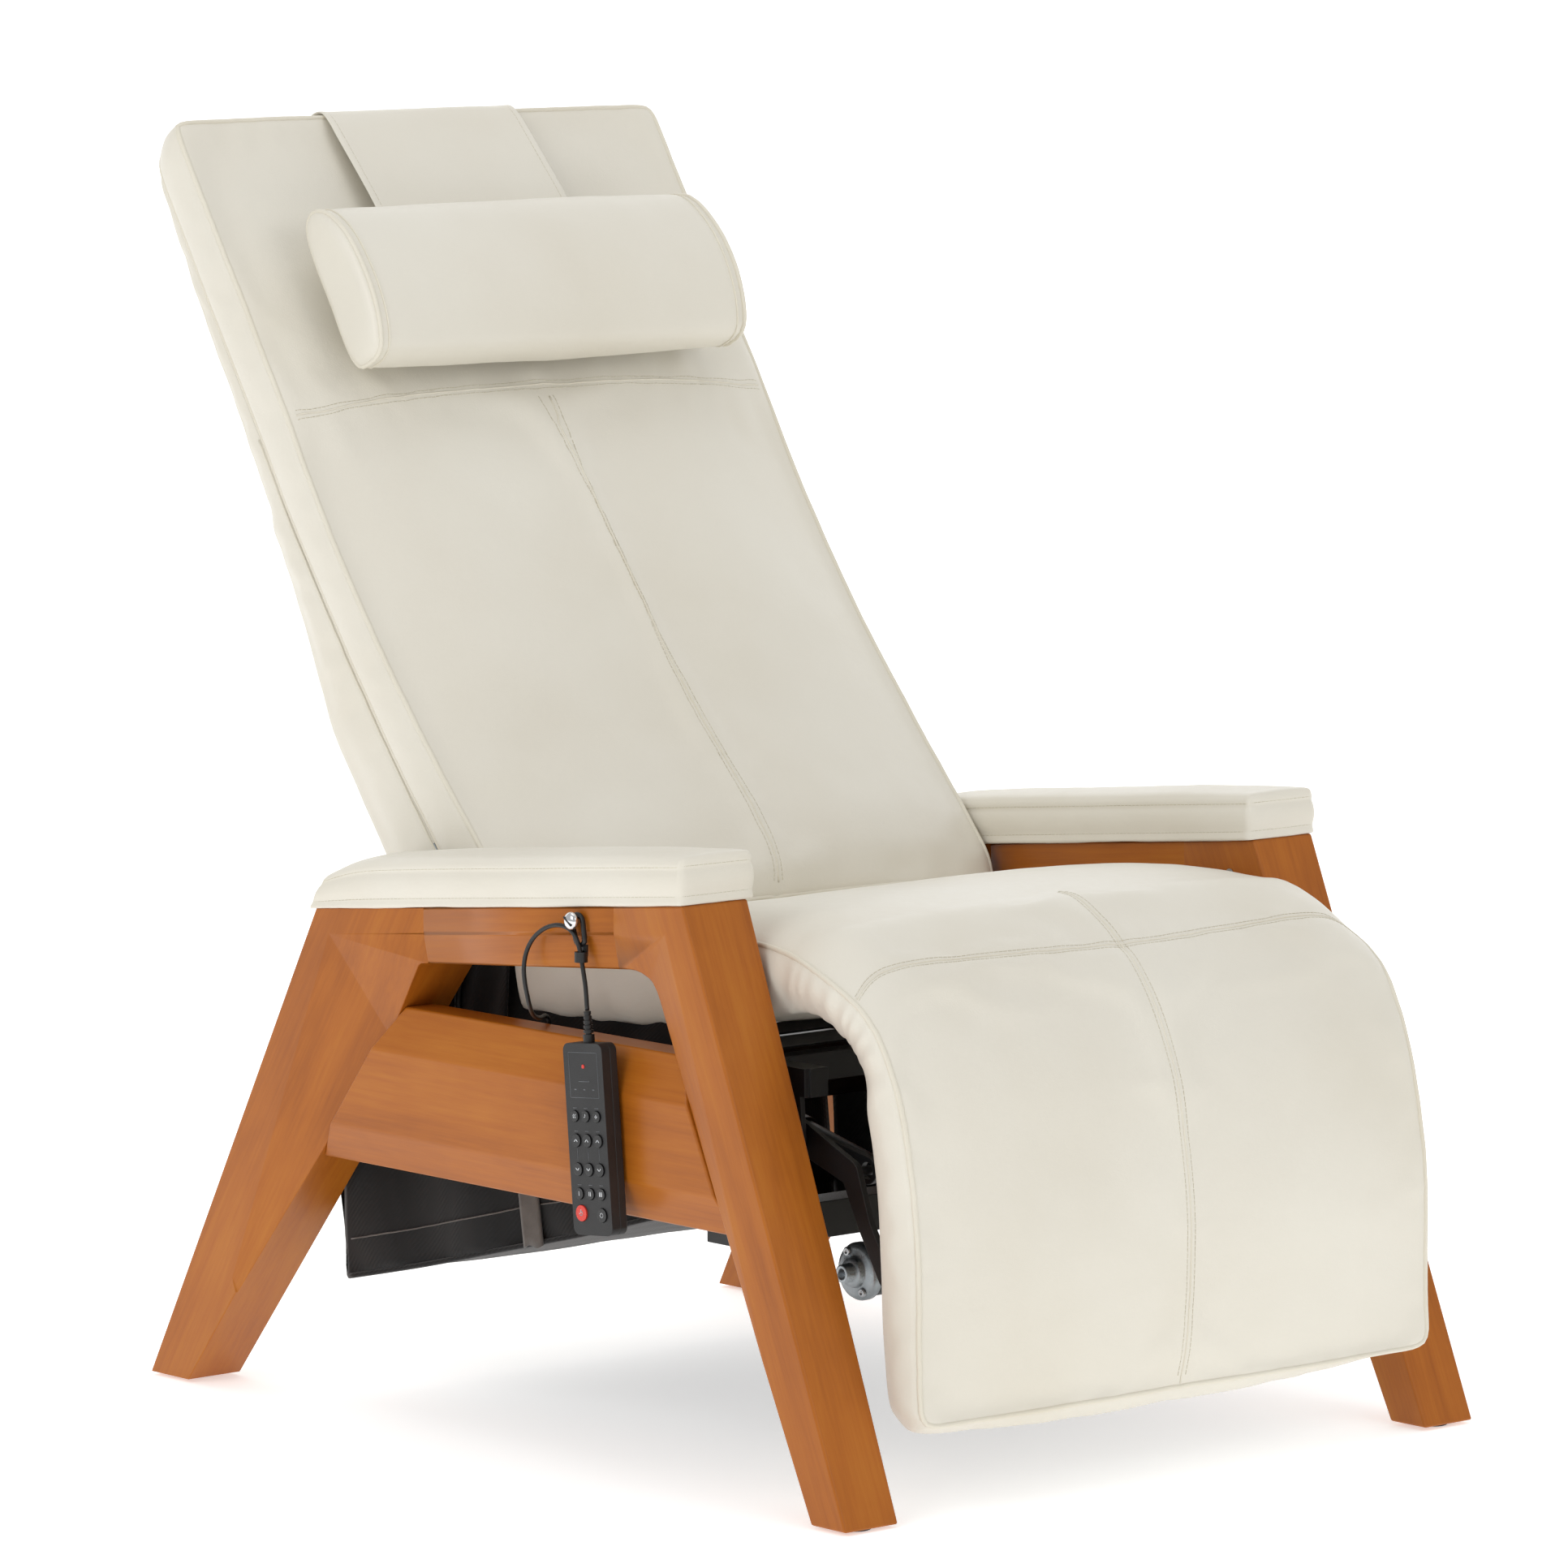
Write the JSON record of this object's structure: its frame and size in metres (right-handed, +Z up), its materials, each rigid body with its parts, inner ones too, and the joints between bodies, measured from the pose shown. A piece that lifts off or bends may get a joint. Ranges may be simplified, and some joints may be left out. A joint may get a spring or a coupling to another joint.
{
  "type": "massage chair",
  "caption": "Powered zero-gravity massage recliner: cream leather cushions and head pillow on an open bent-wood frame, with a linear actuator and a corded hand control.",
  "frame": {"origin": "on the floor, under the middle of the chair's overall box, on its plane of symmetry", "axes": "+Z up, +Y from the sitter's feet to the rear, +X to the sitter's left"},
  "size_m": [0.7738, 1.0919, 1.1455],
  "materials": {
    "honey_wood": "satin lacquer",
    "cream_leather": "smooth grain",
    "black_steel": "powder coat",
    "bright_steel": "polished",
    "zinc_steel": "zinc plated",
    "black_cloth": "non-woven",
    "black_plastic": "moulded",
    "black_rubber": "satin",
    "red_plastic": "gloss",
    "plywood": "bare",
    "board_green": "solder mask"
  },
  "bodies": {
    "frame": {"front_leg_right": "honey_wood", "front_leg_left": "honey_wood", "rear_leg_right": "honey_wood", "rear_leg_left": "honey_wood", "arm_beam_right": "honey_wood", "arm_beam_left": "honey_wood", "side_rail_right": "honey_wood", "side_rail_left": "honey_wood", "arm_pad_right": "cream_leather", "arm_pad_left": "cream_leather", "foot_glides": "black_plastic", "frame_bolts": "bright_steel", "front_cross_tube": "black_steel", "rear_cross_tube": "black_steel", "pivot_brackets": "black_steel", "actuator_anchor_pin": "bright_steel", "control_box": "black_plastic", "power_inlet": "black_plastic", "remote_hook": "bright_steel", "dust_pouch": "black_cloth", "remote_cord": "black_rubber"},
    "seat": {"seat_frame": "black_steel", "seat_webbing": "black_cloth", "seat_cushion": "cream_leather", "pivot_pins": "bright_steel"},
    "back": {"back_frame": "black_steel", "back_board": "plywood", "back_cushion": "cream_leather", "back_cover": "cream_leather", "massage_motors": "zinc_steel", "lever_pin": "bright_steel", "pillow_strap": "cream_leather"},
    "headrest": {"head_pillow": "cream_leather"},
    "legrest": {"legrest_frame": "black_steel", "legrest_cushion": "cream_leather"},
    "links": {"legrest_links": "black_steel"},
    "actuator": {"actuator_housing": "black_steel", "actuator_motor": "black_steel", "actuator_tube": "black_steel"},
    "rod": {"actuator_rod": "bright_steel"},
    "remote": {"hanging_ring": "black_rubber", "remote_front_shell": "black_plastic", "remote_back_shell": "black_plastic", "strain_relief": "black_plastic", "status_lamp": "red_plastic", "circuit_board": "board_green"},
    "button_heat_cap": {"button_heat": "black_plastic"},
    "button_timer_cap": {"button_timer": "black_plastic"},
    "button_mode_cap": {"button_mode": "black_plastic"},
    "button_raise_leg_cap": {"button_raise_leg": "black_plastic"},
    "button_raise_all_cap": {"button_raise_all": "black_plastic"},
    "button_raise_back_cap": {"button_raise_back": "black_plastic"},
    "button_lower_leg_cap": {"button_lower_leg": "black_plastic"},
    "button_lower_all_cap": {"button_lower_all": "black_plastic"},
    "button_lower_back_cap": {"button_lower_back": "black_plastic"},
    "button_massage_low_cap": {"button_massage_low": "black_plastic"},
    "button_massage_mid_cap": {"button_massage_mid": "black_plastic"},
    "button_massage_high_cap": {"button_massage_high": "black_plastic"},
    "button_power_cap": {"button_power": "red_plastic"},
    "button_zero_cap": {"button_zero": "black_plastic"}
  },
  "joints": [
    {"name": "seat_tilt", "type": "hinge", "parent": "frame", "child": "seat", "pos_m": [0, -0.123, 0.33], "axis": [-1, 0, 0], "range_deg": [0, 12]},
    {"name": "back_recline", "type": "hinge", "parent": "seat", "child": "back", "pos_m": [0, 0.052, 0.395], "axis": [-1, 0, 0], "range_deg": [0, 16]},
    {"name": "legrest_lift", "type": "hinge", "parent": "seat", "child": "legrest", "pos_m": [0, -0.353, 0.31], "axis": [-1, 0, 0], "range_deg": [0, 45]},
    {"name": "leg_link_swing", "type": "hinge", "parent": "frame", "child": "links", "pos_m": [0, -0.178, 0.329], "axis": [-1, 0, 0], "range_deg": [0, 27.4]},
    {"name": "actuator_swing", "type": "hinge", "parent": "frame", "child": "actuator", "pos_m": [0, -0.366, 0.166], "axis": [-1, 0, 0], "range_deg": [0, 3.25]},
    {"name": "rod_slide", "type": "slide", "parent": "actuator", "child": "rod", "axis": [0, 0.9735, 0.2285], "range_m": [-0.0585, 0]},
    {"name": "headrest_slide", "type": "slide", "parent": "back", "child": "headrest", "axis": [0, 0.5807, 0.8141], "range_m": [-0.05, 0.08]},
    {"name": "remote_swing", "type": "hinge", "parent": "frame", "child": "remote", "pos_m": [-0.384, -0.182, 0.487], "axis": [-1, 0, 0], "range_deg": [-12, 12], "deforming": ["remote_cord"]},
    {"name": "button_heat_press", "type": "slide", "parent": "remote", "child": "button_heat_cap", "axis": [1, 0, 0], "range_m": [0, 0.001], "stiffness_N_per_m": 400},
    {"name": "button_timer_press", "type": "slide", "parent": "remote", "child": "button_timer_cap", "axis": [1, 0, 0], "range_m": [0, 0.001], "stiffness_N_per_m": 400},
    {"name": "button_mode_press", "type": "slide", "parent": "remote", "child": "button_mode_cap", "axis": [1, 0, 0], "range_m": [0, 0.001], "stiffness_N_per_m": 400},
    {"name": "button_raise_leg_press", "type": "slide", "parent": "remote", "child": "button_raise_leg_cap", "axis": [1, 0, 0], "range_m": [0, 0.001], "stiffness_N_per_m": 400},
    {"name": "button_raise_all_press", "type": "slide", "parent": "remote", "child": "button_raise_all_cap", "axis": [1, 0, 0], "range_m": [0, 0.001], "stiffness_N_per_m": 400},
    {"name": "button_raise_back_press", "type": "slide", "parent": "remote", "child": "button_raise_back_cap", "axis": [1, 0, 0], "range_m": [0, 0.001], "stiffness_N_per_m": 400},
    {"name": "button_lower_leg_press", "type": "slide", "parent": "remote", "child": "button_lower_leg_cap", "axis": [1, 0, 0], "range_m": [0, 0.001], "stiffness_N_per_m": 400},
    {"name": "button_lower_all_press", "type": "slide", "parent": "remote", "child": "button_lower_all_cap", "axis": [1, 0, 0], "range_m": [0, 0.001], "stiffness_N_per_m": 400},
    {"name": "button_lower_back_press", "type": "slide", "parent": "remote", "child": "button_lower_back_cap", "axis": [1, 0, 0], "range_m": [0, 0.001], "stiffness_N_per_m": 400},
    {"name": "button_massage_low_press", "type": "slide", "parent": "remote", "child": "button_massage_low_cap", "axis": [1, 0, 0], "range_m": [0, 0.001], "stiffness_N_per_m": 400},
    {"name": "button_massage_mid_press", "type": "slide", "parent": "remote", "child": "button_massage_mid_cap", "axis": [1, 0, 0], "range_m": [0, 0.001], "stiffness_N_per_m": 400},
    {"name": "button_massage_high_press", "type": "slide", "parent": "remote", "child": "button_massage_high_cap", "axis": [1, 0, 0], "range_m": [0, 0.001], "stiffness_N_per_m": 400},
    {"name": "button_power_press", "type": "slide", "parent": "remote", "child": "button_power_cap", "axis": [1, 0, 0], "range_m": [0, 0.001], "stiffness_N_per_m": 400},
    {"name": "button_zero_press", "type": "slide", "parent": "remote", "child": "button_zero_cap", "axis": [1, 0, 0], "range_m": [0, 0.001], "stiffness_N_per_m": 400}
  ],
  "couplings": [
    {"joint": "back_recline", "follows": "seat_tilt", "ratio": 1.3333},
    {"joint": "legrest_lift", "follows": "seat_tilt", "ratio": 3.75},
    {"joint": "leg_link_swing", "follows": "seat_tilt", "ratio": 2.2764},
    {"joint": "actuator_swing", "follows": "seat_tilt", "ratio": 0.2661},
    {"joint": "rod_slide", "follows": "seat_tilt", "m_per_rad": -0.27648}
  ]
}
